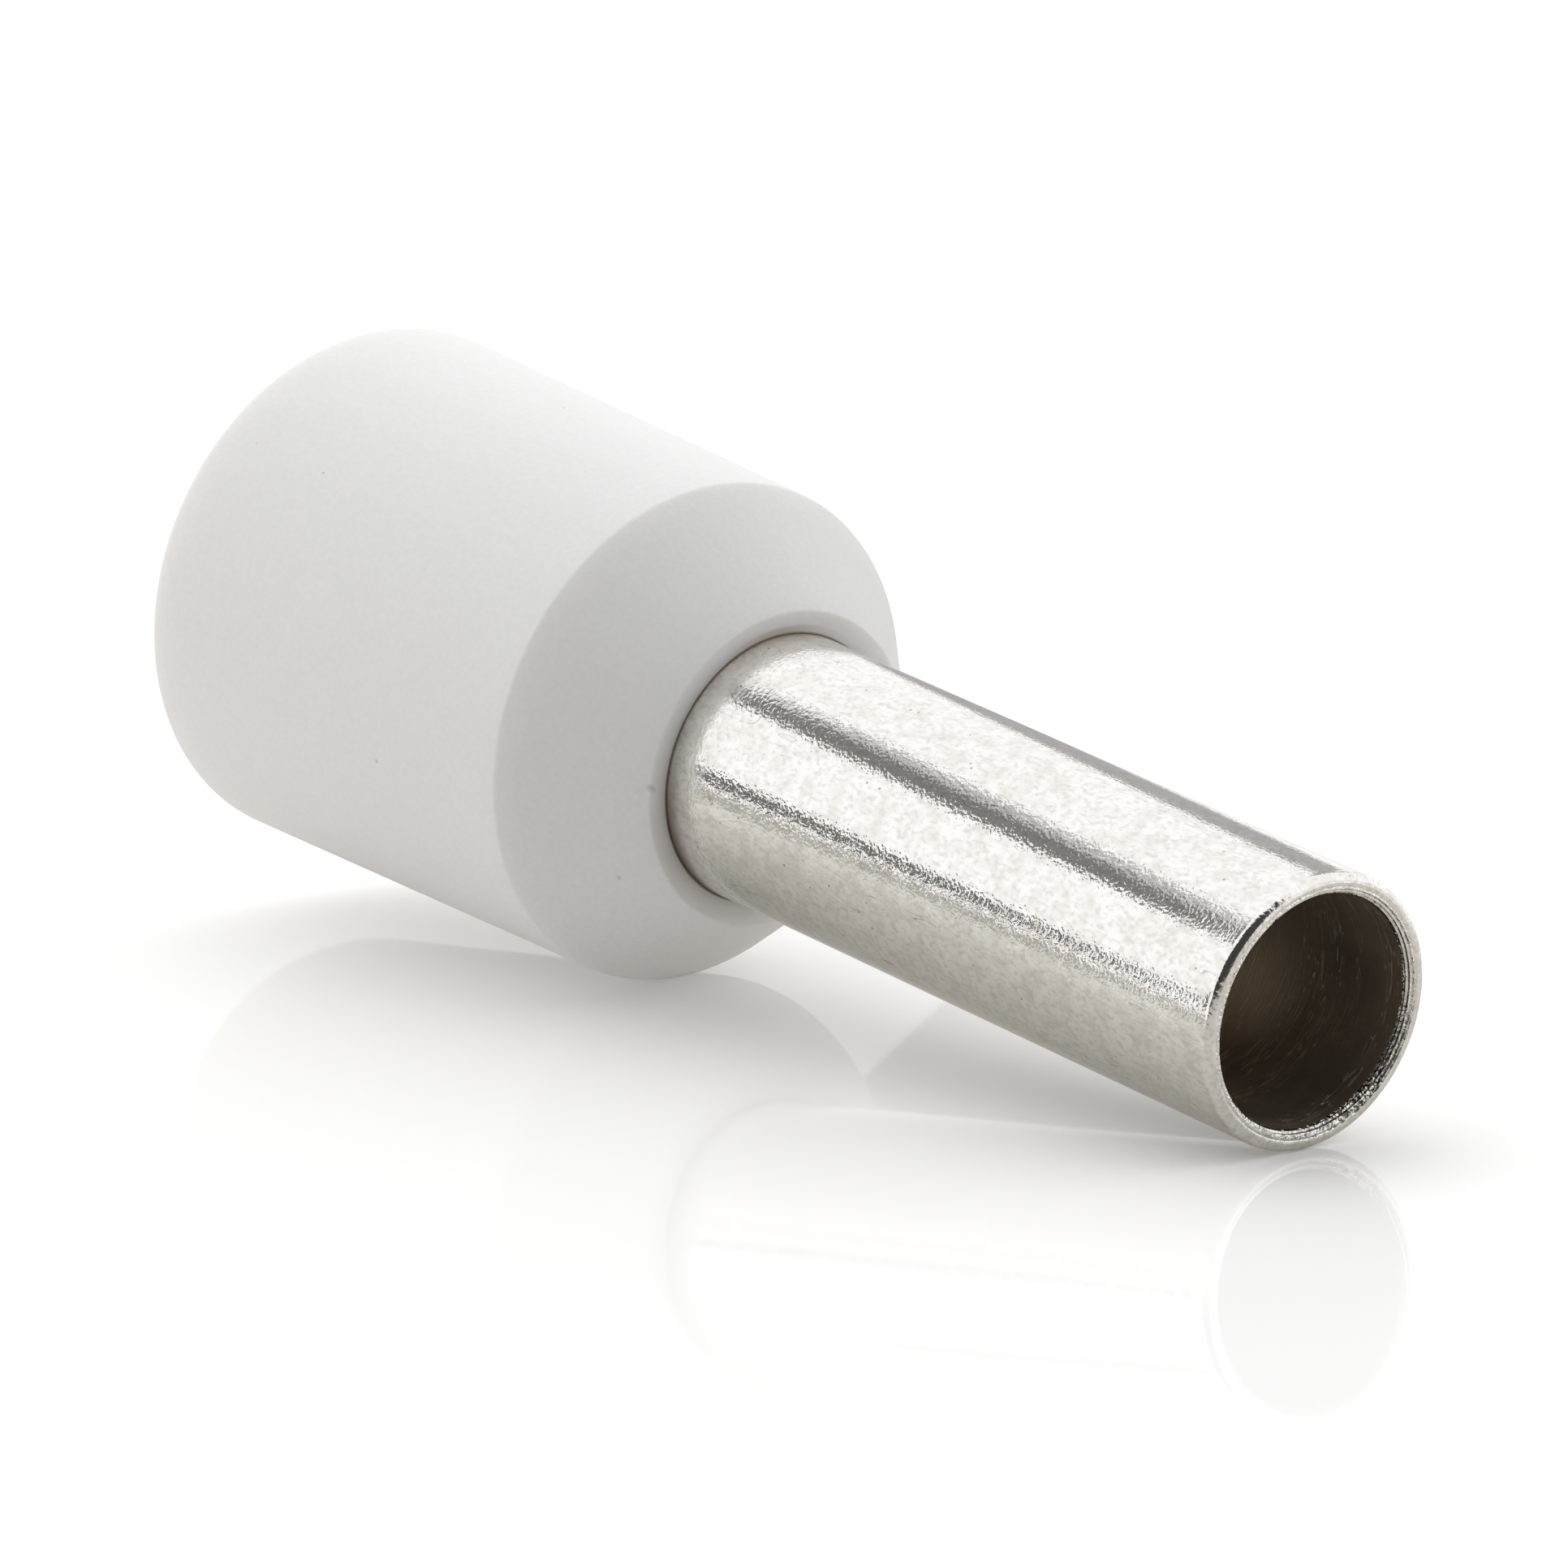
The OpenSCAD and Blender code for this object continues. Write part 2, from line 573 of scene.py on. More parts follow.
@dataclass(frozen=True)
class PlasticFinish(Finish):
    """White moulded plastic with a fine grain, a little dirt by the barrel, and painted light
    and shade round the barrel.

    Attributes:
        white: Its colour.
        ring_painted_light: Colour of the thin dished ring, painted lighter and a little yellower
            than the plastic for the light that passes through it and fills its dish.
        gap_shade: Colour of the painted shade far inside the gap round the barrel.
        crease_shade: Colour of the painted shade on the ring's inner edge, in the crease round
            the barrel.
        crease_shade_share: How much of that painted shade shows at most.
        crease_shade_place: Middle of that painted shade, on what was the ring's upper side.
        crease_shade_reach: How far that painted shade goes from there.
        speck: Colour of the dust.
        speck_share: How much of that colour shows.
        mark: Colour of the dirt marks.
        mark_share: How much of that colour shows at most.
        marks: Centre and size of each dirt mark.
        ring: Places along the axis where the dished ring begins.
        ring_edge: Radii where the painted light on the ring ends.
        crease_shade_edge: Radii where that painted shade ends.
        neck: Places along the axis where that painted shade begins.
        neck_edge: Radii where that painted shade ends.
        grain: Depth of the moulded grain.
        roughness: Lowest and highest roughness.
        gloss: Level of its plain reflection.
        depth: Share of the light that goes through the plastic's skin.
        skin: How far that light goes.
        skin_colour: How far each colour goes, against that.
    """

    white: Colour = (0.87, 0.87, 0.865)
    ring_painted_light: Colour = (0.98, 0.97, 0.955)
    gap_shade: Colour = (0.34, 0.26, 0.18)
    crease_shade: Colour = (0.55, 0.46, 0.32)
    crease_shade_share: float = 0.55
    crease_shade_place: Point = (-1.36, -0.1, 0.0)
    crease_shade_reach: float = 0.9
    speck: Colour = (0.34, 0.30, 0.25)
    speck_share: float = 0.5
    mark: Colour = (0.30, 0.26, 0.21)
    mark_share: float = 0.38
    marks: tuple[tuple[Point, float], ...] = (
        ((-0.03, -1.54, 0.05), 0.06),
        ((0.0, -1.50, 0.03), 0.05),
        ((0.96, -1.536, -0.3), 0.035),
        ((0.476, -2.448, -2.9), 0.035),
    )
    ring: Span = (-0.05, 0.02)
    ring_edge: Span = (1.50, 1.56)
    crease_shade_edge: Span = (1.37, 1.42)
    neck: Span = (-0.6, -0.4)
    neck_edge: Span = (1.308, 1.335)
    grain: float = 0.0065
    roughness: Span = (0.38, 0.50)
    gloss: float = 0.15
    depth: float = 0.5
    skin: float = 0.6
    skin_colour: Colour = (1.0, 0.95, 0.9)

    def _colour(self, bench: Workbench) -> Socket:
        """Paint the plastic.

        Args:
            bench: The material's bench.

        Returns:
            Its colour.
        """
        radius = bench.radius()
        tone = bench.effect(Effect.MOTTLE, Scale=1.6, Low=0.0, High=0.5)
        colour = bench.blend(tone, self.white, shade(self.white, 0.975))
        pores = bench.effect(Effect.MOTTLE, Scale=19.0, Low=0.0, High=0.6)
        colour = bench.blend(pores, colour, shade(self.white, 0.94))
        # Painted light: the dished ring is painted lighter and a little yellower, for the light
        # that shines through it
        front = bench.ramp(bench.along, self.ring)
        ring = bench.math("MULTIPLY", front, bench.fall(radius, self.ring_edge))
        colour = bench.blend(ring, colour, self.ring_painted_light)
        # Painted shade in the crease between the ring's inner edge and the barrel, on what was
        # its upper side
        inner = bench.ramp(radius, self.crease_shade_edge, self.crease_shade_share, 0.0)
        upper = bench.near(self.crease_shade_place, self.crease_shade_reach)
        crease_shade = bench.math("MULTIPLY", bench.math("MULTIPLY", front, inner), upper)
        colour = bench.blend(crease_shade, colour, self.crease_shade)
        # Painted shade on the collar's hole, far inside the gap round the barrel
        deep_shade = bench.ramp(bench.along, self.neck)
        neck = bench.math("MULTIPLY", bench.fall(radius, self.neck_edge), deep_shade)
        colour = bench.blend(neck, colour, self.gap_shade)
        specks = bench.effect(Effect.SPECKS, Scale=4.0, Size=0.05, Rarity=0.96)
        dust = bench.math("MULTIPLY", specks, self.speck_share)
        colour = bench.blend(dust, colour, self.speck)
        for centre, size in self.marks:
            spot = bench.math("MULTIPLY", bench.near(centre, size), self.mark_share)
            colour = bench.blend(spot, colour, self.mark)
        return colour

    def paint(self, bench: Workbench) -> None:
        """Give the bench's shader its looks."""
        bench.feed("Base Color", self._colour(bench))
        low, high = self.roughness
        bench.feed("Roughness", bench.effect(Effect.MOTTLE, Scale=9.0, Low=low, High=high))
        bench.bump((bench.effect(Effect.RELIEF, Scale=16.0, Detail=2.0), self.grain))
        bench.fix(Subsurface_Weight=self.depth, Subsurface_Scale=self.skin * MM)
        bench.fix(Subsurface_Radius=self.skin_colour, Specular_IOR_Level=self.gloss)


@dataclass(frozen=True)
class TinFinish(Finish):
    """Tin plating with orange peel, a cut end, specks and hair scratches.

    Attributes:
        bright: Colour of the clean plating.
        dull: Colour of its duller patches.
        dirt: Colour of specks and scratches.
        speck_share: How much of that colour the specks show.
        hair_share: How much of it the scratches show.
        root_shade: Colour of the painted shade on the barrel's root, on what was its lower side,
            for the shade and the dark reflection of the collar there.
        root_shade_ends: Places along the axis where that painted shade ends.
        low_side: How far down that painted shade begins and is full.
        inner_dark: Dark colour on part of the mouth's inner rounding, towards what was its lower
            side.
        inner_dark_place: Middle of that dark part.
        inner_dark_reach: How far the dark part goes from there.
        dark_heights: Heights of the crumbled metal between which the dark colour ends, so that
            it lies in the hollows.
        inner: Radii where the inner rounding ends.
        face: Radii where the cut end begins, and those where it ends.
        torn: Places along the axis where the uneven roll of metal begins.
        rubbed: Places along the axis where the root's roughness ends.
        peel: Depth of the orange peel.
        grain: Depth of the grain across the axis.
        ridge: Depth of the cutter's lines on the cut end.
        ragged: Depth of the uneven roll of metal round the cut end.
        crumb: Depth of the crumbled metal on the inner rounding.
        roughness: Lowest and highest roughness.
        cut_roughness: How much rougher the cut end is.
        root_roughness: How much rougher the rubbed root is.
    """

    bright: Colour = (0.945, 0.93, 0.90)
    dull: Colour = (0.82, 0.795, 0.755)
    dirt: Colour = (0.22, 0.18, 0.14)
    speck_share: float = 0.65
    hair_share: float = 0.35
    root_shade: Colour = (0.34, 0.30, 0.25)
    root_shade_ends: Span = (0.04, 0.24)
    low_side: Span = (-1.0, 0.9)
    inner_dark: Colour = (0.10, 0.09, 0.08)
    inner_dark_place: Point = (0.9, 0.65, 7.55)
    inner_dark_reach: float = 1.5
    dark_heights: Span = (0.44, 0.50)
    inner: Span = (1.185, 1.20)
    face: tuple[Span, Span] = ((1.185, 1.195), (1.24, 1.27))
    torn: Span = (7.49, 7.55)
    rubbed: Span = (0.1, 0.6)
    peel: float = 0.0030
    grain: float = 0.0005
    ridge: float = 0.004
    ragged: float = 0.014
    crumb: float = 0.014
    roughness: Span = (0.06, 0.12)
    cut_roughness: float = 0.16
    root_roughness: float = 0.28

    def _colour(self, bench: Workbench, inner: Socket, crumbs: Socket) -> Socket:
        """Paint the plating.

        Args:
            bench: The material's bench.
            inner: Mask of the mouth's inner rounding.
            crumbs: Height of its crumbled metal.

        Returns:
            Its colour.
        """
        tone = bench.effect(Effect.MOTTLE, Scale=6.0, Low=-0.4, High=1.0)
        colour = bench.blend(tone, self.bright, self.dull)
        pits = bench.effect(Effect.MOTTLE, (1.3, 0.8), Scale=17.0, Low=-0.6, High=0.8)
        colour = bench.blend(pits, colour, shade(self.dull, 0.86))
        specks = bench.effect(Effect.SPECKS, Scale=8.0, Size=0.11, Rarity=0.86)
        specks = bench.math("MULTIPLY", specks, self.speck_share)
        colour = bench.blend(specks, colour, self.dirt)
        hairs = bench.effect(
            Effect.SCRATCHES, (5.0, 0.7), Scale=1.2, Width=0.0035, Patches=0.55, Cover=0.56
        )
        hairs = bench.math("MULTIPLY", hairs, self.hair_share)
        colour = bench.blend(hairs, colour, self.dirt)
        # Darker on part of the mouth's inner rounding, in the hollows of the crumbled metal
        loose = bench.fall(crumbs, self.dark_heights)
        inner_dark = bench.math("MULTIPLY", loose, bench.near(self.inner_dark_place, self.inner_dark_reach))
        colour = bench.blend(bench.math("MULTIPLY", inner_dark, inner), colour, self.inner_dark)
        # Painted shade and painted reflection: the barrel's root, by the collar, darker on what
        # was its lower side
        low = bench.ramp(bench.downward, self.low_side)
        root = bench.math("MULTIPLY", bench.fall(bench.along, self.root_shade_ends), low)
        return bench.blend(root, colour, self.root_shade)

    def paint(self, bench: Workbench) -> None:
        """Give the bench's shader its looks."""
        radius = bench.radius()
        inner = bench.fall(radius, self.inner)
        crumbs = bench.effect(Effect.RELIEF, Scale=30.0, Detail=2.0)
        bench.feed("Base Color", self._colour(bench, inner, crumbs))
        low, high = self.roughness
        skin = bench.effect(Effect.MOTTLE, Scale=6.0, Low=low, High=high)
        start, end = self.face
        face = bench.math("MULTIPLY", bench.ramp(radius, start), bench.fall(radius, end))
        root = bench.ramp(bench.along, self.rubbed, self.root_roughness, 0.0)
        skin = bench.math("ADD", skin, root)
        bench.feed("Roughness", bench.math("MULTIPLY_ADD", face, self.cut_roughness, skin))
        inputs = {"W": radius, "Scale": 45.0}
        rings = bench.add("ShaderNodeTexNoise", inputs, noise_dimensions="1D")
        roll = bench.effect(Effect.RELIEF, Scale=7.0, Detail=3.0)
        bench.bump(
            (bench.effect(Effect.RELIEF, Scale=27.0, Detail=1.0), self.peel),
            (bench.effect(Effect.RELIEF, (0.6, 9.0), Scale=4.0, Detail=1.0), self.grain),
            (bench.math("MULTIPLY", rings.outputs["Fac"], face), self.ridge),
            (bench.math("MULTIPLY", roll, bench.ramp(bench.along, self.torn)), self.ragged),
            (bench.math("MULTIPLY", crumbs, inner), self.crumb),
        )
        bench.fix(Metallic=1.0)


@dataclass(frozen=True)
class BoreFinish(Finish):
    """The barrel's inner wall with drawing marks, painted dark brown for the shade inside the
    bore.

    Attributes:
        deep_shade: Its usual colour, painted dark brown for the shade inside the bore.
        patch: Colour of its lighter patch.
        patch_place: Middle of that patch.
        patch_reach: How far the patch goes from there.
        mouth_shade: Colour of the painted shade that darkens it towards the mouth.
        mouth_shade_share: How much of that painted shade shows at most.
        mouth_shade_places: Places along the axis where that begins and is full.
        hair: Colour of the drawing marks.
        hair_share: How much of that colour shows.
        red: Colour of the tiny bare copper specks.
        roughness: Its lowest and highest roughness.
        metal: How metallic the darkened wall is.
        lines: Depth of the drawing marks.
    """

    deep_shade: Colour = (0.30, 0.25, 0.195)
    patch: Colour = (1.0, 0.88, 0.68)
    patch_place: Point = (0.48, 0.99, 5.5)
    patch_reach: float = 1.3
    mouth_shade: Colour = (0.10, 0.075, 0.055)
    mouth_shade_share: float = 0.5
    mouth_shade_places: Span = (5.6, 7.2)
    hair: Colour = (0.85, 0.78, 0.62)
    hair_share: float = 0.6
    red: Colour = (1.0, 0.80, 0.66)
    roughness: Span = (0.30, 0.42)
    metal: float = 0.6
    lines: float = 0.003

    def paint(self, bench: Workbench) -> None:
        """Give the bench's shader its looks."""
        # Painted shade: the bore's wall is painted dark brown for the shade inside it
        tone = bench.effect(Effect.MOTTLE, Scale=1.3, Low=0.0, High=0.4)
        spot = bench.math("MAXIMUM", tone, bench.near(self.patch_place, self.patch_reach))
        colour = bench.blend(spot, self.deep_shade, self.patch)
        # Painted shade, darker towards the mouth
        mouth_shade = bench.ramp(bench.along, self.mouth_shade_places)
        mouth_shade = bench.math("MULTIPLY", mouth_shade, self.mouth_shade_share)
        colour = bench.blend(mouth_shade, colour, self.mouth_shade)
        hairs = bench.effect(
            Effect.SCRATCHES, (0.6, 8.0), Scale=3.2, Width=0.012, Patches=0.5, Cover=0.46
        )
        hairs = bench.math("MULTIPLY", hairs, self.hair_share)
        colour = bench.blend(hairs, colour, self.hair)
        specks = bench.effect(Effect.SPECKS, (1.0, 2.0), Scale=5.0, Size=0.13, Rarity=0.9)
        bench.feed("Base Color", bench.blend(specks, colour, self.red))
        low, high = self.roughness
        bench.feed("Roughness", bench.effect(Effect.MOTTLE, Scale=5.0, Low=low, High=high))
        bench.bump((bench.effect(Effect.RELIEF, (0.5, 9.0), Scale=5.0, Detail=1.0), self.lines))
        bench.fix(Metallic=self.metal)


@dataclass(frozen=True)
class Collar:
    """The moulded collar: wire entry, seat for the barrel's flare, shoulder and dished ring."""

    lie: Lie
    name: str = "collar_shell"
    node: str = "collar"
    length: float = 6.4
    entry_radius: float = 2.1
    front_radius: float = 2.45
    rear_radius: float = 2.575
    shoulder_angle: float = 37.0
    edge_round: float = 0.08
    rear_round: float = 0.1
    entry_bevel: float = 0.15
    entry_round: float = 0.02
    bevel_round: float = 0.03
    neck: float = 0.5
    grip: float = 0.25
    hole_radius: float = 1.304
    hole_round: float = 0.008
    hole_depth: float = 0.05
    grip_radius: float = 1.312857
    seat_radius: float = 1.32
    seat_round: float = 0.1
    crest_radius: float = 1.54
    crest_round: float = 0.03
    dish_depth: float = 0.06
    dish_round: float = 0.25
    dip_share: float = 0.42
    smooth: float = 32.0

    def outline(self) -> Outline:
        """Return the outline of the collar's wall."""
        slope = math.tan(math.radians(self.shoulder_angle))
        edge = self.dish_depth - (self.front_radius - self.crest_radius) / slope
        seat_end = -self.neck - (self.entry_radius - self.seat_radius) / slope
        relief = self.grip - self.neck
        dip = (self.hole_radius + self.crest_radius) / 2
        bevel_end = self.entry_bevel - self.length
        return Outline(
            (
                Corner(self.entry_radius + self.entry_bevel, -self.length, self.entry_round, 3),
                Corner(self.rear_radius, -self.length, self.rear_round, 8),
                Corner(self.front_radius, edge, self.edge_round, 10),
                Corner(self.crest_radius, self.dish_depth, self.crest_round, 8),
                Corner(dip, self.dish_depth * self.dip_share, self.dish_round, 5),
                Corner(self.hole_radius, 0.0, self.hole_round, 3),
                Corner(self.hole_radius, -self.hole_depth),
                Corner(self.grip_radius, relief),
                Corner(self.seat_radius, -self.neck),
                Corner(self.entry_radius, seat_end, self.seat_round, 5),
                Corner(self.entry_radius, bevel_end, self.bevel_round, 3),
            )
        )

    def build(self) -> bpy.types.Object:
        """Turn the collar."""
        return turned(self.name, self.outline(), self.lie.base, self.smooth)

    def dress(self, piece: bpy.types.Object, shelf: EffectShelf) -> None:
        """Give the collar its plastic and its place in the record.

        Args:
            piece: The collar.
            shelf: The shared effects.
        """
        plastic = PlasticFinish().make("White moulded plastic", shelf, self.lie)
        piece.data.materials.append(plastic)
        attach(piece, BODY)
        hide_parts(self.node)


@dataclass(frozen=True)
class Barrel:
    """The drawn barrel: flare in the collar, straight tube and rounded mouth."""

    lie: Lie
    name: str = "barrel_tube"
    node: str = "barrel"
    radius: float = 1.3
    bore_radius: float = 1.1
    out: float = 7.6
    root: float = 0.2
    seat_radius: float = 1.32
    neck: float = 0.5
    flare_radius: float = 2.04
    flare_angle: float = 37.0
    flare_round: float = 0.03
    flare_inner_round: float = 0.012
    throat_round: float = 0.3
    mouth_round: float = 0.09
    mouth_inner_round: float = 0.10
    mouth_edge: float = 0.006
    ridges: int = 4
    ridge_height: float = 0.010
    smooth: float = 40.0

    def _inner_rounding(self) -> list[Corner]:
        """Return the corners of the mouth's inner rounding, with the cutter's ridges on it."""
        corners = []
        steps = 2 * self.ridges
        for step in range(1, steps):
            angle = math.pi / 2 * step / steps
            reach = self.mouth_inner_round - (self.ridge_height if step % 2 else 0.0)
            across = self.mouth_inner_round - reach * math.sin(angle)
            back = self.mouth_inner_round - reach * math.cos(angle)
            corners.append(Corner(self.bore_radius + across, self.out - back))
        return corners

    def outline(self) -> Outline:
        """Return the outline of the barrel's wall."""
        slope = math.tan(math.radians(self.flare_angle))
        wall = (self.radius - self.bore_radius) / math.cos(math.radians(self.flare_angle))
        end = -self.neck - (self.flare_radius - self.seat_radius) / slope
        throat = -self.neck - (wall - (self.seat_radius - self.bore_radius)) / slope
        rounding = self.mouth_inner_round
        return Outline(
            (
                Corner(self.bore_radius, self.out - rounding),
                Corner(self.bore_radius, throat, self.throat_round, 8),
                Corner(self.flare_radius - wall, end, self.flare_inner_round, 2),
                Corner(self.flare_radius, end, self.flare_round, 4),
                Corner(self.seat_radius, -self.neck),
                Corner(self.radius, self.root),
                Corner(self.radius, self.out, self.mouth_round, 12),
                Corner(self.bore_radius + rounding, self.out, self.mouth_edge, 2),
                *self._inner_rounding(),
            ),
            reach=0.4,
        )

    def build(self) -> bpy.types.Object:
        """Turn the barrel."""
        return turned(self.name, self.outline(), self.lie.base, self.smooth)

    def dress(self, piece: bpy.types.Object, shelf: EffectShelf) -> None:
        """Give the barrel its tin, its dark inner wall and its place in the record.

        Args:
            piece: The barrel.
            shelf: The shared effects.
        """
        piece.data.materials.append(TinFinish().make("Tin plating", shelf, self.lie))
        piece.data.materials.append(BoreFinish().make("Drawn inner wall", shelf, self.lie))
        top = self.lie.base + self.out - self.mouth_inner_round
        # Faces of the bore, whose middles are at its radius or just inside
        widest = self.bore_radius + 0.001
        for face in piece.data.polygons:
            middle = face.center / MM
            inside = math.hypot(middle.x, middle.y) < widest and middle.z < top
            face.material_index = 1 if inside else 0
        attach(piece, BODY)
        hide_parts(self.node)


@dataclass(frozen=True)
class GapCard:
    """A grey card that only reflections see, where the soft light has a gap.

    Attributes:
        name: The card's name.
        start: One end of its middle line, around the lying ferrule.
        end: The other end.
        width: Its width.
        grey: How bright it is.
        beyond: How far it runs on past both ends, in shares of the line.
        aim: The point that it faces.
    """

    name: str
    start: Point
    end: Point
    width: float
    grey: float
    beyond: float
    aim: Point = (3.0, 0.0, 2.0)

    def hang(self, lie: Lie) -> bpy.types.Object:
        """Hang the card.

        Args:
            lie: How the ferrule lay.

        Returns:
            The card.
        """
        start, end = Vector(self.start) * MM, Vector(self.end) * MM
        middle = (start + end) / 2
        along = (end - start).normalized()
        towards = Vector(self.aim) * MM - middle
        towards = (towards - along * towards.dot(along)).normalized()
        turn = Matrix((along, towards.cross(along), towards)).transposed().to_4x4()
        length = (end - start).length * (1 + 2 * self.beyond)
        size = Matrix.Diagonal((length, self.width * MM, 1, 1))
        bpy.ops.object.select_all(action="DESELECT")
        bpy.ops.mesh.primitive_plane_add(size=1.0)
        card = bpy.context.object
        card.name = self.name
        card.matrix_world = lie.stand_up() @ Matrix.Translation(middle) @ turn @ size
        bpy.ops.object.transform_apply(location=True, rotation=True, scale=True)
        for ray in ("camera", "diffuse", "shadow", "transmission"):
            setattr(card, f"visible_{ray}", False)
        bench = MaterialBench(self.name)
        glow = bench.add("ShaderNodeEmission", {"Color": WHITE, "Strength": self.grey})
        bench.close(glow.outputs["Emission"])
        card.data.materials.append(bench.material)
        return card


@dataclass(frozen=True)
class Tent:
    """The soft light all round, as directions around the lying ferrule.

    Attributes:
        level: Mean brightness of the light on dull surfaces.
        lean: How much brighter it is towards each axis.
        gloss: Brightness that shiny surfaces show.
        lens: Direction of the camera, round which the tent is open and dark.
        lens_edge: Cosines where the opening is fully dark and where it ends.
        lens_share: How much of the opening's darkness dull surfaces get.
        dark: Brightness of the opening, as a share of the rest.
    """

    level: float = 1.09
    lean: Point = (-0.40, 0.09, 0.26)
    gloss: float = 1.06
    lens: Point = (0.753777, -0.622900, 0.209320)
    lens_edge: Span = (0.73, 0.53)
    lens_share: float = 0.86
    dark: float = 0.05


class WorldBench(NodeBench):
    """The world's node tree, with its directions and its kinds of ray."""

    def __init__(self, world: bpy.types.World, turn: Matrix) -> None:
        """Start the world.

        Args:
            world: The world.
            turn: The turn from the lying ferrule's directions to the scene's.
        """
        world.use_nodes = True
        super().__init__(world.node_tree)
        self.turn = turn.to_3x3()
        self.place = self.add("ShaderNodeTexCoord")
        self.path = self.add("ShaderNodeLightPath")

    def along(self, direction: Point) -> Socket:
        """Return the dot product of the ray's direction with another."""
        inputs = {0: self.place.outputs["Generated"], 1: self.turn @ Vector(direction)}
        return self.add("ShaderNodeVectorMath", inputs, operation="DOT_PRODUCT").outputs["Value"]

    def pick(self, ray: str, other: Socket, own: Socket | float) -> Socket:
        """Choose a value for one kind of ray.

        Args:
            ray: Name of the Light Path output.
            other: Value for all other rays.
            own: Value for that kind.

        Returns:
            The chosen value.
        """
        inputs = {"Factor": self.path.outputs[ray], "A": other, "B": own}
        return self.add("ShaderNodeMix", inputs, data_type="FLOAT").outputs["Result"]

    def light(self, strength: Socket) -> None:
        """Make the world white light of that strength."""
        background = self.add("ShaderNodeBackground", {"Color": WHITE, "Strength": strength})
        self.close(background.outputs["Background"], "ShaderNodeOutputWorld")


@dataclass(frozen=True)
class Studio:
    """The glossy white sheet that the ferrule touched, the light and the dark things round it.

    The sheet is see-through from its back, so that it hides the ferrule in no view. It glows
    a little, by the light that comes through it from below.

    Attributes:
        lie: How the ferrule lay on the sheet.
        tent: The light all round.
        sheet_size: Width of the sheet, in metres.
        sheet_roughness: The sheet's roughness.
        sheet_ior: How strongly it mirrors, as an index of refraction.
        seen: The sheet's colour and its glow, as the camera sees them.
        cast: The same, for the light that it throws on dull surfaces.
        mirrored: The same, as shiny surfaces show them.
        cards: Dark things that only reflections see.
    """

    lie: Lie
    tent: Tent = Tent()
    sheet_size: float = 1.6
    sheet_roughness: float = 0.04
    sheet_ior: float = 1.2
    seen: tuple[Colour, Colour] = ((0.95, 0.95, 0.95), (0.08, 0.079, 0.077))
    cast: tuple[Colour, Colour] = ((0.62, 0.605, 0.58), (0.225, 0.22, 0.212))
    mirrored: tuple[Colour, Colour] = ((0.44, 0.424, 0.388), (0.14, 0.138, 0.131))
    cards: tuple[GapCard, ...] = (
        GapCard("gap_card_back", (-7.0, 8.0, 2.6), (0.5, 8.0, 7.2), 3.6, 0.44, 0.05),
        GapCard("gap_card_top", (-7.59, -3.49, 12.14), (-0.53, -5.93, 10.39), 2.1, 0.20, 0.06),
        GapCard("gap_card_halo", (-7.94, -3.07, 12.77), (-0.84, -5.59, 11.18), 3.8, 0.56, 0.06),
        GapCard("gap_card_low", (-58.0, -36.0, 6.0), (-39.5, -49.5, 5.0), 7.0, 0.15, 0.0),
    )

    def _sheet_material(self) -> bpy.types.Material:
        """Return the sheet's material."""
        bench = MaterialBench("Glossy white sheet")
        path = bench.add("ShaderNodeLightPath").outputs
        gloss = {"Roughness": self.sheet_roughness, "IOR": self.sheet_ior}
        gloss["Emission Strength"] = 1.0
        names = ("Base Color", "Emission Color")
        for name, seen, cast, mirrored in zip(names, self.seen, self.cast, self.mirrored):
            bounced = bench.blend(path["Is Glossy Ray"], cast, mirrored)
            gloss[name] = bench.blend(path["Is Camera Ray"], bounced, seen)
        front = bench.add("ShaderNodeBsdfPrincipled", gloss).outputs["BSDF"]
        back = bench.add("ShaderNodeBsdfTransparent").outputs["BSDF"]
        side = bench.add("ShaderNodeNewGeometry").outputs["Backfacing"]
        mix = bench.add("ShaderNodeMixShader", {"Fac": side, 1: front, 2: back})
        bench.close(mix.outputs["Shader"])
        return bench.material

    def lay_sheet(self) -> bpy.types.Object:
        """Return the glossy sheet, laid under the ferrule as it lay."""
        bpy.ops.object.select_all(action="DESELECT")
        bpy.ops.mesh.primitive_plane_add(size=self.sheet_size)
        sheet = bpy.context.object
        sheet.name = "studio_sheet"
        sheet.matrix_world = self.lie.stand_up()
        bpy.ops.object.transform_apply(location=True, rotation=True, scale=True)
        sheet.data.materials.append(self._sheet_material())
        return sheet

    def light_world(self) -> None:
        """Light the scene from all round, darker round the camera."""
        world = bpy.data.worlds.new("Soft tent")
        world.cycles.sampling_method = "NONE"
        bpy.context.scene.world = world
        tent = self.tent
        bench = WorldBench(world, self.lie.turn())
        facing = bench.along(tent.lens)
        open_soft = bench.ramp(facing, tent.lens_edge, 1 - tent.lens_share)
        lit = bench.math("ADD", bench.along(tent.lean), tent.level)
        soft = bench.math("MULTIPLY", lit, open_soft)
        open_gloss = bench.ramp(facing, tent.lens_edge, tent.dark)
        gloss = bench.math("MULTIPLY", open_gloss, tent.gloss)
        bench.light(bench.pick("Is Camera Ray", bench.pick("Is Glossy Ray", soft, gloss), 1.0))

    def build(self) -> list[bpy.types.Object]:
        """Set the studio up and return its objects."""
        self.light_world()
        return [self.lay_sheet(), *(card.hang(self.lie) for card in self.cards)]


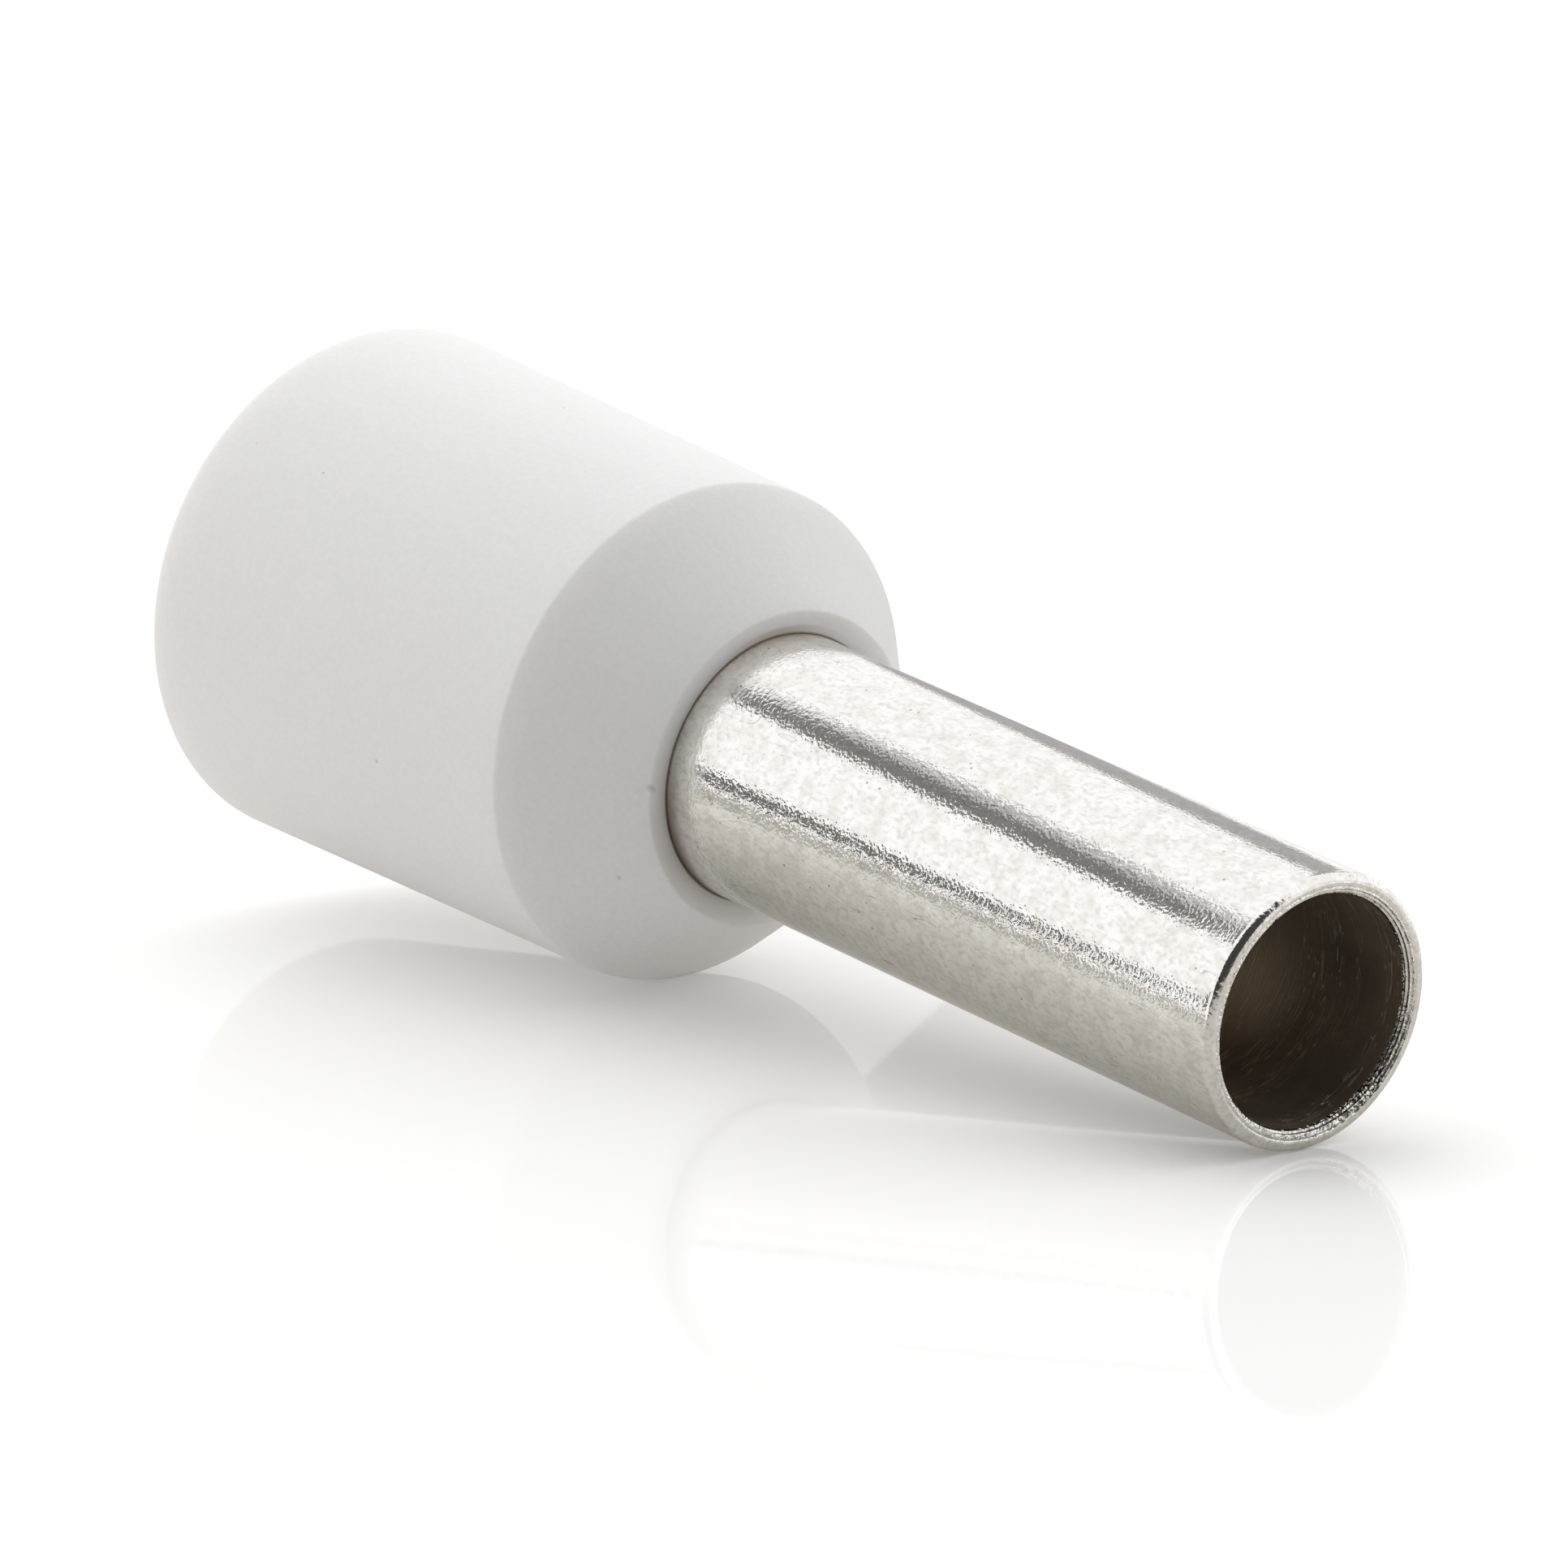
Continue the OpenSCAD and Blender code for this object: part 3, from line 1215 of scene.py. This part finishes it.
@dataclass(frozen=True)
class View:
    """The photograph's camera, around the lying ferrule.

    Attributes:
        lie: How the ferrule lay.
        eye: Where it stands.
        ahead: Which way it looks.
        right: Which way its picture's right side points.
        lens: Focal length.
        sensor: Width of its sensor.
        clip: Nearest and furthest distance that it sees, in metres.
    """

    lie: Lie
    eye: Point = (74.66703, -62.01919, 22.98021)
    ahead: Point = (-0.753777, 0.622900, -0.209320)
    right: Point = (0.637012, 0.770854, 0.0)
    lens: float = 244.49
    sensor: float = 36.0
    clip: Span = (0.001, 10.0)

    def build(self) -> bpy.types.Object:
        """Set the camera up, make it the scene's own and return it."""
        data = bpy.data.cameras.new("view")
        data.sensor_fit = "HORIZONTAL"
        data.sensor_width = self.sensor
        data.lens = self.lens
        data.clip_start, data.clip_end = self.clip
        data.dof.use_dof = False
        camera = bpy.data.objects.new("view", data)
        bpy.context.scene.collection.objects.link(camera)
        ahead = Vector(self.ahead).normalized()
        right = Vector(self.right).normalized()
        up = right.cross(ahead).normalized()
        turn = Matrix((right, up, -ahead)).transposed().to_4x4()
        place = Matrix.Translation(Vector(self.eye) * MM)
        camera.matrix_world = self.lie.stand_up() @ place @ turn
        bpy.context.scene.camera = camera
        return camera


@dataclass(frozen=True)
class Ferrule:
    """The whole ferrule.

    Attributes:
        lie: How the photographed ferrule lay.
    """

    lie: Lie

    def build(self, shelf: EffectShelf) -> list[bpy.types.Object]:
        """Build and dress both pieces.

        Args:
            shelf: The shared effects.

        Returns:
            The pieces.
        """
        pieces = []
        for part in (Collar(self.lie), Barrel(self.lie)):
            piece = part.build()
            part.dress(piece, shelf)
            log.info("%s: %d faces", piece.name, len(piece.data.polygons))
            pieces.append(piece)
        return pieces


def main() -> None:
    """Build the ferrule, its studio and its camera."""
    logging.basicConfig(level=logging.INFO, format="%(name)s: %(message)s")
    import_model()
    bpy.context.scene.view_settings.view_transform = "Standard"
    lie = Lie()
    View(lie).build()
    Ferrule(lie).build(EffectShelf())
    for thing in Studio(lie).build():
        log.info("%s is in place", thing.name)


if __name__ == "__main__":
    main()
